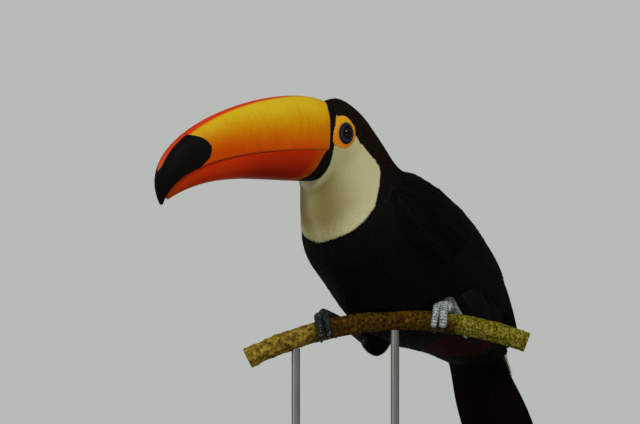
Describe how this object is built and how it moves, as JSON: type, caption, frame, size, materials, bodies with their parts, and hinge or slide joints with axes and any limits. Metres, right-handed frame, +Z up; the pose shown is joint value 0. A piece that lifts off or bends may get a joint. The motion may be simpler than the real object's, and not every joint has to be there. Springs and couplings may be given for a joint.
{
  "type": "toucan",
  "caption": "Life-size toucan with a huge curved bill, sitting turned on a short cut branch that two rods hold over a flat wooden base",
  "frame": {"origin": "centre of the underside of the stand's base, on the floor", "axes": "+Z up; +X to the right and +Y away as the picture's camera sees it, so the branch runs along X and the bill points toward -X and -Y"},
  "size_m": [0.3375, 0.2926, 0.3863],
  "materials": {
    "black_plumage": "satin black feathers",
    "white_plumage": "soft cream feathers",
    "bill_orange": "satin horn, yellow over orange with a black tip",
    "bill_red": "satin horn, orange to deep red",
    "eye_dark": "wet gloss",
    "leg_skin": "scaled blue-grey skin",
    "claw_horn": "dark horn",
    "bark": "rough bark with lichen",
    "base_wood": "dark satin stained wood",
    "rod_steel": "brushed"
  },
  "bodies": {
    "root": {"head": "white_plumage", "neck": "white_plumage", "trunk": "black_plumage", "wing_left": "black_plumage", "wing_right": "black_plumage", "tail": "black_plumage", "thigh_left": "black_plumage", "thigh_right": "black_plumage", "bill_upper": "bill_orange", "bill_lower": "bill_red", "eye_left": "eye_dark", "eye_right": "eye_dark", "foot_left": "leg_skin", "foot_right": "leg_skin", "perch": "bark", "stand_base": "base_wood", "stand_rod_1": "rod_steel", "stand_rod_2": "rod_steel", "claw_left_1": "claw_horn", "claw_left_2": "claw_horn", "claw_left_3": "claw_horn", "claw_left_4": "claw_horn", "claw_right_1": "claw_horn", "claw_right_2": "claw_horn", "claw_right_3": "claw_horn", "claw_right_4": "claw_horn"}
  },
  "joints": []
}
